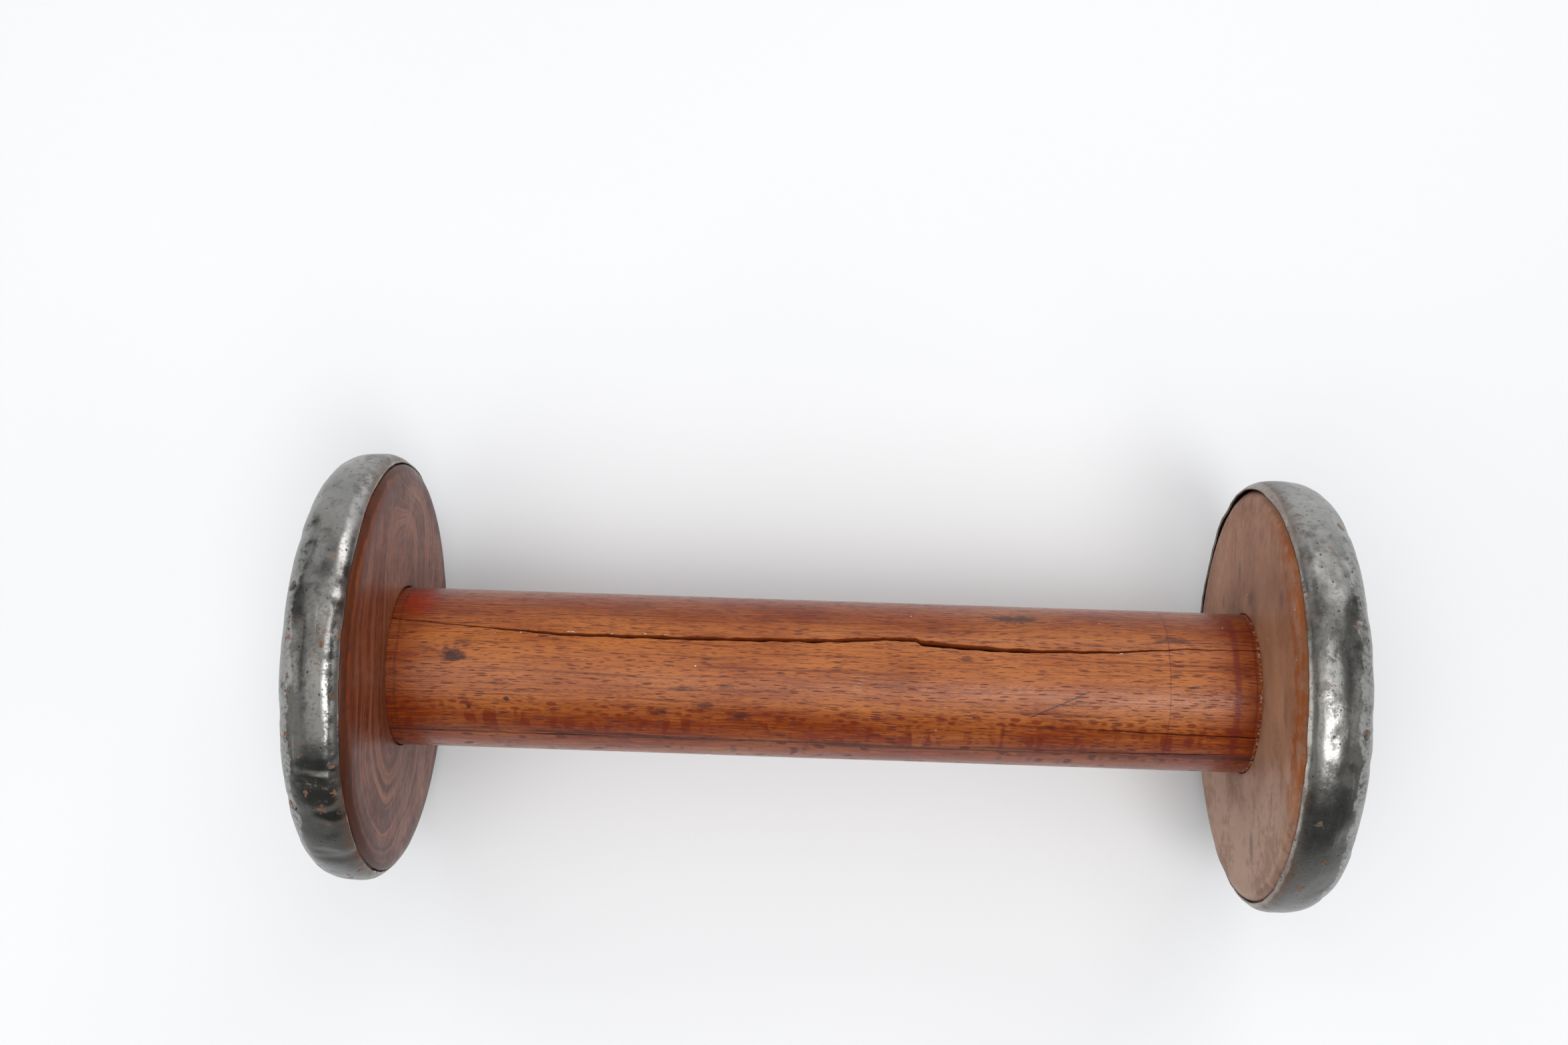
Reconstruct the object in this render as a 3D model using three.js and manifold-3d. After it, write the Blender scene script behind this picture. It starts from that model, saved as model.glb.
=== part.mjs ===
// A wooden textile-mill bobbin with steel-bound heads. It lies on its two rims, as on a bench:
// the spindle axis is X, +Z is up, and the origin is on the axis, midway between the heads.
// Millimetres. Each head is built once, at the +X end, and the left one is a copy turned half a turn about Z.
import * as THREE from 'three';
import { mergeVertices } from 'three/addons/utils/BufferGeometryUtils.js';
import Module from 'manifold-3d';

const wasm = await Module();
wasm.setup();

// ---- driving dimensions ----
const TRAVERSE = 252; // winding length, between the inner faces of the heads
const HEAD_RADIUS = 64; // over the steel rim band
const HEAD_THICKNESS = 19.5; // wood, both plies
const INNER_PLY = 12; // the thicker ply, on the yarn side
const BARREL_RADIUS = 23.75;
const SPIGOT_RADIUS = 20; // turned-down end of the barrel, which goes through the head
const SEAT_DEPTH = 1.5; // the barrel's shoulder is let this far into the head
const BUSH_BORE = 10; // radius of the hole for the spindle
const BUSH_WALL = 1.3;
const BUSH_LENGTH = 25;
const BUSH_PLATE_RADIUS = 17.5;
const BUSH_PLATE = 1.5; // thickness of the bush's end plate
const SHEET = 0.6; // steel of the rim band
const GAP = 0.3; // left between neighbouring pieces
const SIDES = 48; // facets round a turned piece, with a flat one at the bottom
const SMALL_SIDES = 12; // facets round a screw or tack

// Rim outline: u runs outwards from the inner face of the head, r from the spindle axis.
const LIP_U = 2.4; // the band's free edge
const LIP_DROP = 2.3; // how far that edge lies inside the rim's widest circle
const CROWN_U = 8.5; // the widest circle of the rim
const CORNER_RADIUS = 55; // where the rounded corner meets the flat fold
const FOLD_RADIUS = 47; // inner edge of the fold on the end face
const CORNER_POWER = 2.4; // superellipse exponent of the rounded corner
const BAND_OUTER_U = HEAD_THICKNESS + GAP + SHEET;

// Fasteners
const SCREW_COUNT = 3;
const SCREW_CIRCLE = 14.2; // radius of the circle that the bush screws lie on
const SCREW_LENGTH = 14;
const SCREW_HEAD_RADIUS = 2.4;
const SCREW_SHANK_RADIUS = 1.3;
const TACK_COUNT = 6;
const TACK_LENGTH = 7.5;
const TACK_HEAD_RADIUS = 1.9;
const TACK_SHANK_RADIUS = 0.8;
const TACK_U = 18.2; // where a tack goes in, on the rounded corner

// ---- colours ----
const material = (color, roughness, metalness) => new THREE.MeshStandardMaterial({ color, roughness, metalness });
const beech = material(0xb5622b, 0.4, 0);
const headWood = material(0x8a5a44, 0.55, 0);
const rimSteel = material(0x6b6e6c, 0.4, 0.9);
const bushSteel = material(0x5a5a58, 0.5, 0.9);
const fastenerSteel = material(0x4c4a47, 0.5, 0.9);

// ---- helpers ----
const point = (u, r) => new THREE.Vector2(r, u);

// A profile of points (u, r) turned about X. Radii are to the flats, so the piece is as wide across flats as stated.
function turned(profile, sides = SIDES) {
  const acrossFlats = 1 / Math.cos(Math.PI / sides);
  const points = profile.map((p) => new THREE.Vector2(p.x * acrossFlats, p.y));
  const geometry = new THREE.LatheGeometry(points, sides, Math.PI / sides);
  return geometry.rotateZ(-Math.PI / 2);
}

// A ring whose profile closes on itself: outer outline with u rising, inner outline with u falling.
const ring = (profile) => turned([...profile, profile[0]]);

// three.js geometry to a manifold-3d solid, and back.
function solid(geometry) {
  const bare = geometry.clone();
  bare.deleteAttribute('normal');
  bare.deleteAttribute('uv');
  const merged = mergeVertices(bare, 1e-4);
  return new wasm.Manifold(new wasm.Mesh({
    numProp: 3,
    vertProperties: merged.attributes.position.array,
    triVerts: new Uint32Array(merged.index.array),
  }));
}

function geometryOf(body) {
  const mesh = body.getMesh();
  return new THREE.BufferGeometry()
    .setAttribute('position', new THREE.BufferAttribute(mesh.vertProperties, 3))
    .setIndex(new THREE.BufferAttribute(mesh.triVerts, 1));
}

// Geometry with each tool geometry cut away.
const cut = (geometry, tools) => geometryOf(tools.reduce((body, tool) => body.subtract(solid(tool)), solid(geometry)));

function named(name, geometry, look) {
  const mesh = new THREE.Mesh(geometry, look);
  mesh.name = name;
  return mesh;
}

// Matrix that carries a small turned piece (its axis +X, outwards) to a place on the head.
// angle is from +Z towards +Y, and lean tips the piece's axis from +X towards the radius.
function placing(u, r, angle, lean) {
  const radial = new THREE.Vector3(0, Math.sin(angle), Math.cos(angle));
  const outward = new THREE.Vector3(Math.cos(lean), 0, 0).addScaledVector(radial, Math.sin(lean));
  const side = new THREE.Vector3().crossVectors(radial, new THREE.Vector3(1, 0, 0));
  const third = new THREE.Vector3().crossVectors(outward, side);
  return new THREE.Matrix4()
    .makeBasis(outward, side, third)
    .setPosition(TRAVERSE / 2 + u, r * radial.y, r * radial.z);
}

// ---- the rim's outline ----
// Points along the rim, inset from the band's outer surface, from the lip over the crown to the end face.
function rimOutline(inset) {
  const crown = HEAD_RADIUS - inset;
  const outline = [];
  const crownSteps = 3;
  for (let i = 0; i < crownSteps; i++) {
    const s = 1 - i / crownSteps; // 1 at the lip, 0 at the crown
    outline.push(point(CROWN_U - (CROWN_U - LIP_U) * s, crown - LIP_DROP * s ** 3));
  }
  const across = BAND_OUTER_U - inset - CROWN_U;
  const down = crown - CORNER_RADIUS;
  const cornerSteps = 7;
  for (let i = 0; i <= cornerSteps; i++) {
    const t = (Math.PI / 2) * (i / cornerSteps);
    outline.push(point(
      CROWN_U + across * Math.sin(t) ** (2 / CORNER_POWER),
      CORNER_RADIUS + down * Math.max(Math.cos(t), 0) ** (2 / CORNER_POWER),
    ));
  }
  return outline;
}

// Radius and outward lean of the band's outer surface at a place on its rounded corner.
function cornerAt(u) {
  const across = BAND_OUTER_U - CROWN_U;
  const down = HEAD_RADIUS - CORNER_RADIUS;
  const s = (u - CROWN_U) / across;
  const q = (1 - s ** CORNER_POWER) ** (1 / CORNER_POWER);
  const normalU = s ** (CORNER_POWER - 1) / across;
  const normalR = q ** (CORNER_POWER - 1) / down;
  return { r: CORNER_RADIUS + down * q, lean: Math.atan2(normalR, normalU) };
}

// ---- the barrel ----
// One turned length of beech, bored through, with a shoulder and a spigot at each end.
function barrel() {
  const bore = BUSH_BORE + BUSH_WALL + GAP;
  const half = [
    point(TRAVERSE / 2 + SEAT_DEPTH - GAP, BARREL_RADIUS),
    point(TRAVERSE / 2 + SEAT_DEPTH - GAP, SPIGOT_RADIUS),
    point(TRAVERSE / 2 + HEAD_THICKNESS - GAP, SPIGOT_RADIUS),
    point(TRAVERSE / 2 + HEAD_THICKNESS - GAP, BUSH_PLATE_RADIUS + GAP),
    point(TRAVERSE / 2 + HEAD_THICKNESS - BUSH_PLATE - GAP, BUSH_PLATE_RADIUS + GAP),
    point(TRAVERSE / 2 + HEAD_THICKNESS - BUSH_PLATE - GAP, bore),
  ];
  const mirrored = [...half].reverse().map((p) => point(-p.y, p.x));
  return ring([...mirrored, ...half]);
}

// ---- the head: two cross-grained plies ----
const headBore = SPIGOT_RADIUS + GAP;
const woodOutline = rimOutline(SHEET + GAP);
const onHead = (profile) => profile.map((p) => new THREE.Vector2(p.x, p.y + TRAVERSE / 2));

function innerPly() {
  const edgeRadius = LIP_U; // the face rounds over to meet the band's lip
  const edge = woodOutline[0];
  const rounding = [0, 1, 2].map((i) => {
    const t = (Math.PI / 2) * (i / 3);
    return point(edgeRadius * (1 - Math.cos(t)), edge.x - edgeRadius * (1 - Math.sin(t)));
  });
  const kept = woodOutline.filter((p) => p.y < INNER_PLY);
  const joint = jointRadius(INNER_PLY);
  return ring(onHead([
    point(0, BARREL_RADIUS + GAP),
    ...rounding,
    ...kept,
    point(INNER_PLY, joint),
    point(INNER_PLY, headBore),
    point(SEAT_DEPTH, headBore),
    point(SEAT_DEPTH, BARREL_RADIUS + GAP),
  ]));
}

function outerPly() {
  const start = INNER_PLY + GAP;
  const kept = woodOutline.filter((p) => p.y > start);
  return ring(onHead([
    point(start, headBore),
    point(start, jointRadius(start)),
    ...kept,
    point(HEAD_THICKNESS, headBore),
  ]));
}

// Radius of the wood's faceted outline where a plane between two of its points cuts it.
function jointRadius(u) {
  const next = woodOutline.findIndex((p) => p.y > u);
  const [a, b] = [woodOutline[next - 1], woodOutline[next]];
  return a.x + ((b.x - a.x) * (u - a.y)) / (b.y - a.y);
}

// ---- the rim band ----
// Sheet steel spun over the head's edge and folded onto its end face.
function rimBand() {
  const outside = [...rimOutline(0), point(BAND_OUTER_U, FOLD_RADIUS)];
  const inside = [...rimOutline(SHEET), point(BAND_OUTER_U - SHEET, FOLD_RADIUS)];
  return ring(onHead([...outside, ...inside.reverse()]));
}

// ---- the spindle bush ----
// A short steel tube with an end plate let into the spigot's end.
function spindleBush() {
  const tube = BUSH_BORE + BUSH_WALL;
  const plateBack = HEAD_THICKNESS - BUSH_PLATE;
  return ring(onHead([
    point(HEAD_THICKNESS - BUSH_LENGTH, BUSH_BORE),
    point(HEAD_THICKNESS - BUSH_LENGTH, tube),
    point(plateBack, tube),
    point(plateBack, BUSH_PLATE_RADIUS),
    point(HEAD_THICKNESS, BUSH_PLATE_RADIUS),
    point(HEAD_THICKNESS, BUSH_BORE),
  ]));
}

// ---- fasteners, each along its own axis: the head's face at 0, the tip at -length ----
// grow widens the outline, for the hole that the fastener sits in.
function screw(grow = 0) {
  const coneDepth = SCREW_HEAD_RADIUS - SCREW_SHANK_RADIUS;
  const above = grow; // a hole's tool stands clear of the face it cuts
  return turned([
    point(-SCREW_LENGTH - grow, 0),
    point(-SCREW_LENGTH * 0.75 - grow, SCREW_SHANK_RADIUS + grow),
    point(-coneDepth, SCREW_SHANK_RADIUS + grow),
    point(0, SCREW_HEAD_RADIUS + grow),
    point(above, SCREW_HEAD_RADIUS + grow),
    point(above, 0),
  ].filter((p, i, all) => i === 0 || p.x !== all[i - 1].x || p.y !== all[i - 1].y), SMALL_SIDES);
}

function slottedScrew() {
  const slotWidth = 0.8;
  const slotDepth = 0.7;
  const slot = new THREE.BoxGeometry(2 * slotDepth, slotWidth, 3 * SCREW_HEAD_RADIUS);
  return cut(screw(), [slot]);
}

function tack(grow = 0) {
  const headThickness = 0.6;
  return turned([
    point(-TACK_LENGTH - grow, 0),
    point(-TACK_LENGTH * 0.7 - grow, TACK_SHANK_RADIUS + grow),
    point(GAP, TACK_SHANK_RADIUS + grow),
    point(GAP, TACK_HEAD_RADIUS + grow),
    point(GAP + headThickness * 0.5, TACK_HEAD_RADIUS + grow),
    point(GAP + headThickness, TACK_HEAD_RADIUS * 0.6),
    point(GAP + headThickness, 0),
  ], SMALL_SIDES);
}

// ---- one end of the bobbin ----
const turns = (count, phase) => Array.from({ length: count }, (_, i) => phase + (2 * Math.PI * i) / count);
const degrees = THREE.MathUtils.degToRad;

function end(side, screwPhase, tackPhase) {
  const screws = turns(SCREW_COUNT, screwPhase).map((a) => placing(HEAD_THICKNESS, SCREW_CIRCLE, a, 0));
  const corner = cornerAt(TACK_U);
  const tacks = turns(TACK_COUNT, tackPhase).map((a) => placing(TACK_U, corner.r, a, corner.lean));
  const screwHoles = screws.map((m) => screw(GAP).applyMatrix4(m));
  const tackHoles = tacks.map((m) => tack(GAP).applyMatrix4(m));

  const group = new THREE.Group();
  group.add(
    named(`${side}_inner_ply`, innerPly(), headWood),
    named(`${side}_outer_ply`, cut(outerPly(), tackHoles), headWood),
    named(`${side}_rim_band`, cut(rimBand(), tackHoles), rimSteel),
    named(`${side}_spindle_bush`, cut(spindleBush(), screwHoles), bushSteel),
  );
  screws.forEach((m, i) => {
    group.add(named(`${side}_bush_screw_${i + 1}`, slottedScrew().applyMatrix4(m), fastenerSteel));
  });
  tacks.forEach((m, i) => {
    group.add(named(`${side}_band_tack_${i + 1}`, tack().applyMatrix4(m), fastenerSteel));
  });
  return { group, screwHoles };
}

// ---- the whole bobbin ----
const right = end('right', degrees(30), degrees(-14));
const left = end('left', degrees(75), degrees(-15));
left.group.rotation.z = Math.PI;

const halfTurn = new THREE.Matrix4().makeRotationZ(Math.PI);
const pilotHoles = [...right.screwHoles, ...left.screwHoles.map((hole) => hole.clone().applyMatrix4(halfTurn))];

const bobbin = new THREE.Group();
bobbin.add(named('barrel', cut(barrel(), pilotHoles), beech), right.group, left.group);

export default bobbin;
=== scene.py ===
# A steel-bound wooden mill bobbin, lying on its two rims on a pale table in soft studio light.
#
# X is the spindle axis, +Z is up and the origin is on the axis, midway between the heads.
# Shapes are worked out in millimetres and become metres when a mesh is made.
# Angles round the axis are in degrees from +Z towards +Y. On a head, u runs outwards from its inner face
# and r from the axis. A head is shaped at the +X end, and the left one is turned half a turn about Z.
import math

import bmesh
import bpy
import numpy as np
from mathutils import Matrix, Vector, noise


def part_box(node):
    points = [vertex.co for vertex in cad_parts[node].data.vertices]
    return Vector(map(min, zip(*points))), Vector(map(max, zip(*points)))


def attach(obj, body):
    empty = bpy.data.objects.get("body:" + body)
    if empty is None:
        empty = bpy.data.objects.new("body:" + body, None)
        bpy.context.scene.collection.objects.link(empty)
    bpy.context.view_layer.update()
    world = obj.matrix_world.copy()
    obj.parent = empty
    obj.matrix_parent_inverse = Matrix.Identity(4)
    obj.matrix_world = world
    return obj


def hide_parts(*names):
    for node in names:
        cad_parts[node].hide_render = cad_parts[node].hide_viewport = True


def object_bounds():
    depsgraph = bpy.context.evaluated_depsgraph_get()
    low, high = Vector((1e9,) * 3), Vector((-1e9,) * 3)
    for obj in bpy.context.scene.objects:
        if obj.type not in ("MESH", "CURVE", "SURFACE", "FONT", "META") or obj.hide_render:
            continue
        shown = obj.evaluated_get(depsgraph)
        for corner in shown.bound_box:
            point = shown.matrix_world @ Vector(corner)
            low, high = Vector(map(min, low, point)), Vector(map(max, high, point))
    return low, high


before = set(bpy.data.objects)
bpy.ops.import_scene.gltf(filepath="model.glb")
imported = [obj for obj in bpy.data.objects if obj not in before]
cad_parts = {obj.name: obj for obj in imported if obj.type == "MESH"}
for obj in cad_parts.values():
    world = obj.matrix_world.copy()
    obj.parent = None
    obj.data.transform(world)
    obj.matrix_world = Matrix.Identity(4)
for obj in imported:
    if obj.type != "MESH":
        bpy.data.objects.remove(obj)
cad_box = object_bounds()


def box_mm(node):
    low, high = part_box(node)
    return low * 1000, high * 1000


# ---- sizes from the frame, in millimetres ----
BARREL_RADIUS = box_mm("barrel")[1].z
BARREL_END = box_mm("barrel")[1].x
FACE = box_mm("right_inner_ply")[0].x  # inner face of a head
JOINT_U = box_mm("right_inner_ply")[1].x - FACE  # where the two plies of a head meet
WOOD_END_U = box_mm("right_outer_ply")[1].x - FACE
LIP_U = box_mm("right_rim_band")[0].x - FACE
BAND_END_U = box_mm("right_rim_band")[1].x - FACE
RIM_RADIUS = box_mm("right_rim_band")[1].z
PLATE_RADIUS = box_mm("right_spindle_bush")[1].z
BUSH_INNER_U = box_mm("right_spindle_bush")[0].x - FACE
FLOOR_Z = cad_box[0][2]

# ---- sizes that the frame's boxes don't show, as in the CAD model ----
GAP = 0.3
SHEET = 0.6
SPIGOT_RADIUS = 20
SEAT_DEPTH = 1.5
BORE_RADIUS = 10
TUBE_RADIUS = 11.3
PLATE = 1.5
LIP_DROP = 2.3
CROWN_U = 8.5
CORNER_RADIUS = 55
CORNER_POWER = 2.4
FOLD_RADIUS = 47
FACE_FALL = 0.45
EDGE_ROUND = 4.6
TACK_U = 18.2
TACK_COUNT = 6
SCREW_COUNT = 3
SCREW_CIRCLE = 14.2
SCREW_HEAD_RADIUS = 2.4

COLUMNS = 288  # steps round a head's wood
BAND_COLUMNS = 384
BUSH_COLUMNS = 144
RIM_STEP = 1.5  # between points of the wood's rim
FACE_STEP = 1.6  # between points of its flat faces
BAND_STEP = 0.8  # between points of a band's rim
FOLD_STEP = 0.9  # between points of its fold
BUSH_STEP = 0.9
SIDES = ("left", "right")
HEAD_TURN = {"left": Matrix.Rotation(math.pi, 4, "Z"), "right": Matrix.Identity(4)}
TACK_PHASE = {"left": -15, "right": -14}
SCREW_PHASE = {"left": 75, "right": 30}


# ======== mesh helpers ========

def smoothstep(low, high, value):
    t = np.clip((np.asarray(value, float) - low) / (high - low), 0, 1)
    return t * t * (3 - 2 * t)


def wobble(points, size, seed):
    """Smooth noise of about -1 to 1 at each point. size is how wide its bumps are."""
    offset = Vector((seed * 17.3, seed * 5.1, seed * 9.7))
    flat = np.asarray(points, float).reshape(-1, 3) / size
    values = [noise.noise(Vector(p) + offset) for p in flat]
    return np.array(values).reshape(np.shape(points)[:-1])


def spoke(phase, i, count):
    """A unit vector away from the axis: number i of count, evenly spread, the first at phase degrees."""
    angle = math.radians(phase + i * 360 / count)
    return Vector((0, math.sin(angle), math.cos(angle)))


def to_head(points, side):
    """Points (u, y, z) on a head become points in the object's frame."""
    placed = np.array(points, float)
    placed[..., 0] += FACE
    if side == "left":
        placed[..., :2] *= -1
    return placed


def polar(u, r, angle):
    """Points from u, r and an angle in radians, as arrays that broadcast together."""
    u, r, angle = np.broadcast_arrays(u, r, angle)
    return np.stack([u, r * np.sin(angle), r * np.cos(angle)], -1)


def linked(name, data):
    """A new object of the data, in the scene."""
    made = bpy.data.objects.new(name, data)
    bpy.context.scene.collection.objects.link(made)
    return made


def finished(mesh, material, nodes, sharp=35):
    """A smooth-shaded object, named as its mesh, in place of the CAD nodes it stands for."""
    whole = bmesh.new()
    whole.from_mesh(mesh)
    bmesh.ops.recalc_face_normals(whole, faces=whole.faces)
    whole.to_mesh(mesh)
    whole.free()
    mesh.shade_smooth()
    mesh.set_sharp_from_angle(angle=math.radians(sharp))
    mesh.materials.append(material)
    piece = linked(mesh.name, mesh)
    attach(piece, "root")
    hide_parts(*nodes)
    return piece


def ring_mesh(name, points):
    """A ring whose section and circle both close. points[i, j] is section point i at angle j, in mm."""
    rows, columns = points.shape[:2]
    here = np.arange(rows * columns).reshape(rows, columns)
    beside = np.roll(here, -1, 1)
    faces = np.stack([here, beside, np.roll(beside, -1, 0), np.roll(here, -1, 0)], -1).reshape(-1, 4)
    mesh = bpy.data.meshes.new(name)
    mesh.from_pydata((points.reshape(-1, 3) / 1000).tolist(), [], faces.tolist())
    return mesh


def lathe_mesh(name, profile, sides, placing, shape=None):
    """A solid turned about its own X from (x, r) points that start and end on the axis, then placed, in mm.
    shape(x, r, angle) may change the radius of a point."""
    vertices, loops, faces = [], [], []
    for x, r in profile:
        count = 1 if r == 0 else sides
        loops.append(range(len(vertices), len(vertices) + count))
        for j in range(count):
            angle = 2 * math.pi * j / sides
            radius = shape(x, r, angle) if shape and r else r
            vertices.append(placing @ Vector((x, radius * math.sin(angle), radius * math.cos(angle))))
    for low, high in zip(loops, loops[1:]):
        for j in range(sides):
            k = (j + 1) % sides
            corners = [low[j % len(low)], low[k % len(low)], high[k % len(high)], high[j % len(high)]]
            faces.append(list(dict.fromkeys(corners)))
    mesh = bpy.data.meshes.new(name)
    mesh.from_pydata([v / 1000 for v in vertices], [], faces)
    return mesh


def sampled(outline, step):
    """Points along an outline of (u, r) corners, no further apart than step."""
    points = []
    for (u0, r0), (u1, r1) in zip(outline, outline[1:]):
        count = max(1, math.ceil(math.hypot(u1 - u0, r1 - r0) / step))
        points += [(u0 + (u1 - u0) * i / count, r0 + (r1 - r0) * i / count) for i in range(count)]
    return points + [outline[-1]]


def turned(outline, step, columns):
    """A closed outline's section and the points it makes when turned round the axis."""
    section = np.array(sampled(outline, step))[:-1]
    angle = np.linspace(0, 2 * math.pi, columns, endpoint=False)
    return section, polar(section[:, 0][:, None], section[:, 1][:, None], angle[None, :])


# ======== materials ========

class Field:
    """A number that varies over a surface, with ordinary arithmetic on it."""

    def __init__(self, shader, socket):
        self.shader = shader
        self.socket = socket

    def math(self, operation, *others, clamp=False):
        node = self.shader.node("Math")
        node.operation = operation
        node.use_clamp = clamp
        for socket, value in zip(node.inputs, (self, *others)):
            self.shader.feed(socket, value)
        return Field(self.shader, node.outputs[0])

    def __add__(self, other):
        return self.math("ADD", other)

    def __sub__(self, other):
        return self.math("SUBTRACT", other)

    def __rsub__(self, other):
        return self.math("MULTIPLY_ADD", -1.0, other)

    def __mul__(self, other):
        return self.math("MULTIPLY", other)

    def __truediv__(self, other):
        return self.math("DIVIDE", other)

    def abs(self):
        return self.math("ABSOLUTE")

    def clamped(self):
        return self.math("MULTIPLY", 1.0, clamp=True)

    def over(self, low, high):
        """0 below low and 1 above high, smoothly. With high below low it is the other way round."""
        node = self.shader.node("MapRange")
        node.interpolation_type = "SMOOTHSTEP"
        flip = high < low
        self.shader.feed(node.inputs["Value"], self)
        ends = {"From Min": min(low, high), "From Max": max(low, high), "To Min": flip, "To Max": not flip}
        for name, value in ends.items():
            node.inputs[name].default_value = value
        return Field(self.shader, node.outputs["Result"])

    def apart(self, centre, low, high):
        """over() of the distance from a centre."""
        return (self - centre).abs().over(low, high)


def hypot(a, b):
    """The root of the sum of the squares of two fields."""
    return (a * a + b * b).math("SQRT")


def scaled(colour, factor):
    return [c * factor for c in colour]


class Shader:
    """The nodes of one material. x, y, z are the object's own coordinates in millimetres."""

    def __init__(self, name):
        self.material = bpy.data.materials.new(name)
        self.material.use_nodes = True
        self.tree = self.material.node_tree
        self.surface = self.tree.nodes["Principled BSDF"]
        place = self.node("TexCoord").outputs["Object"]
        split = self.node("SeparateXYZ")
        self.tree.links.new(place, split.inputs[0])
        self.x, self.y, self.z = (Field(self, out) * 1000.0 for out in split.outputs)

    def node(self, kind):
        return self.tree.nodes.new("ShaderNode" + kind)

    def feed(self, socket, value):
        if isinstance(value, Field):
            value = value.socket
        if isinstance(value, bpy.types.NodeSocket):
            self.tree.links.new(value, socket)
        elif hasattr(value, "__len__"):
            socket.default_value = (*value, 1.0)[:len(socket.default_value)]
        else:
            socket.default_value = value

    def point(self, x, y, z):
        node = self.node("CombineXYZ")
        for socket, value in zip(node.inputs, (x, y, z)):
            self.feed(socket, value)
        return node.outputs[0]

    def place(self, x, y=None, z=None):
        """The surface's own point over a size in mm along each axis. A size left out is the one before it."""
        y = y or x
        return self.point(self.x / x, self.y / y, self.z / (z or y))

    def noise(self, where, detail=3, roughness=0.5):
        """Noise centred on 0.5 at a point whose coordinates are already divided by the bumps' size."""
        node = self.node("TexNoise")
        self.feed(node.inputs["Vector"], where)
        node.inputs["Scale"].default_value = 1
        node.inputs["Detail"].default_value = detail
        node.inputs["Roughness"].default_value = roughness
        return Field(self, node.outputs[0])

    def cells(self, where, randomness=1):
        """Distance to the nearest of scattered points, one a unit cell, and a random number for each."""
        node = self.node("TexVoronoi")
        self.feed(node.inputs["Vector"], where)
        node.inputs["Scale"].default_value = 1
        node.inputs["Randomness"].default_value = randomness
        shade = self.node("SeparateColor")
        self.tree.links.new(node.outputs["Color"], shade.inputs[0])
        return Field(self, node.outputs["Distance"]), Field(self, shade.outputs[0])

    def mix(self, share, low, high):
        node = self.node("Mix")
        node.data_type = "RGBA"
        self.feed(node.inputs[0], share)
        self.feed(node.inputs[6], low)
        self.feed(node.inputs[7], high)
        return node.outputs[2]

    def coat(self, share, tint):
        """Lays a colour over the surface's colour so far."""
        self.colour = self.mix(share, self.colour, tint)

    def angle(self):
        """Degrees round the spindle axis, from +Z towards +Y."""
        return self.y.math("ARCTAN2", self.z) * math.degrees(1)

    def radius(self):
        """Millimetres from the spindle axis."""
        return hypot(self.y, self.z)

    def finish(self, roughness, height=None, depth=0.1, metallic=0.0, ior=1.5):
        """Feeds the surface. height is the relief from 0 to 1, and depth its size in millimetres."""
        self.feed(self.surface.inputs["Base Color"], self.colour)
        self.feed(self.surface.inputs["Roughness"], roughness)
        self.feed(self.surface.inputs["Metallic"], metallic)
        self.surface.inputs["IOR"].default_value = ior
        if height is not None:
            bump = self.node("Bump")
            bump.inputs["Distance"].default_value = depth / 1000
            self.feed(bump.inputs["Height"], height)
            self.tree.links.new(bump.outputs[0], self.surface.inputs["Normal"])
        return self.material


AMBER = (0.36, 0.112, 0.029)
AMBER_DEEP = (0.19, 0.029, 0.004)
FLECK = (0.085, 0.012, 0.005)
STAIN = (0.048, 0.013, 0.011)
DULL_AMBER = (0.15, 0.035, 0.018)
LIGHT_AMBER = (0.5, 0.15, 0.022)
FLAKE = (0.13, 0.013, 0.003)
SCALLOP = (0.13, 0.013, 0.004)
HEART_LINE = (0.05, 0.01, 0.006)
RED_VARNISH = (0.3, 0.018, 0.002)
SHADED_CRACK_WALL = (0.2, 0.034, 0.009)
CRACK_SHADOW_BLACK = (0.01, 0.004, 0.003)
RUST = (0.27, 0.08, 0.015)
DUST = (0.6, 0.55, 0.5)
BROWN_DUST = (0.5, 0.3, 0.18)


def ray_flecks(shader, along, across, deep, length, width, reach):
    """Beech's ray flecks, 0 to 1: thin dashes along the grain, which run deep towards the pith."""
    distance, chance = shader.cells(shader.point(along / length, across / width, deep / reach))
    return (chance * 0.22 + 0.13 - distance).over(-0.07, 0.07)


# Stains on the barrel: place along the axis and angle, half length and half breadth in mm, and strength.
BARREL_STAINS = (
    (-107, 4, 4.6, 2.4, 0.95), (-102, -33, 1.2, 1.0, 0.95), (-91, -26, 1.1, 0.9, 0.9),
    (56, 51, 9.5, 3.0, 0.85), (42, 13, 2.4, 1.0, 0.6), (-47, -32, 4.2, 1.6, 0.65),
    (-34, -26, 4.4, 1.5, 0.65), (-40, -15, 4.6, 1.1, 0.6), (-24, -34, 4.2, 1.8, 0.65),
    (-28, -12, 3.0, 1.0, 0.5), (101, 33, 6.0, 1.8, 0.7), (107, -2, 2.2, 0.7, 0.9),
    (-55, 50, 7.0, 2.2, 0.35), (-104, 14, 4.0, 1.4, 0.4), (66, -34, 1.8, 1.0, 0.8),
)
# Lines round the barrel, red rings and scratches: x, half breadth in mm, strength and colour.
BARREL_LINES = (
    (119.2, 1.5, 0.65, (0.13, 0.014, 0.01)),
    (99.8, 0.28, 0.5, FLECK),
    (-123.5, 0.7, 0.4, FLECK),
    (124.6, 0.5, 0.5, (0.1, 0.012, 0.008)),
    (72.0, 0.2, 0.15, FLECK),
)
SCRATCH = (60, -27, 77, -7)  # a long one across the grain: x and angle of both ends
FLUFF = ((38.5, 22.6), (58.5, 20.6), (86.0, 21.6))  # specks caught in the big crack: x and angle
DEGREE = math.radians(BARREL_RADIUS)  # millimetres round the barrel


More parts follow.
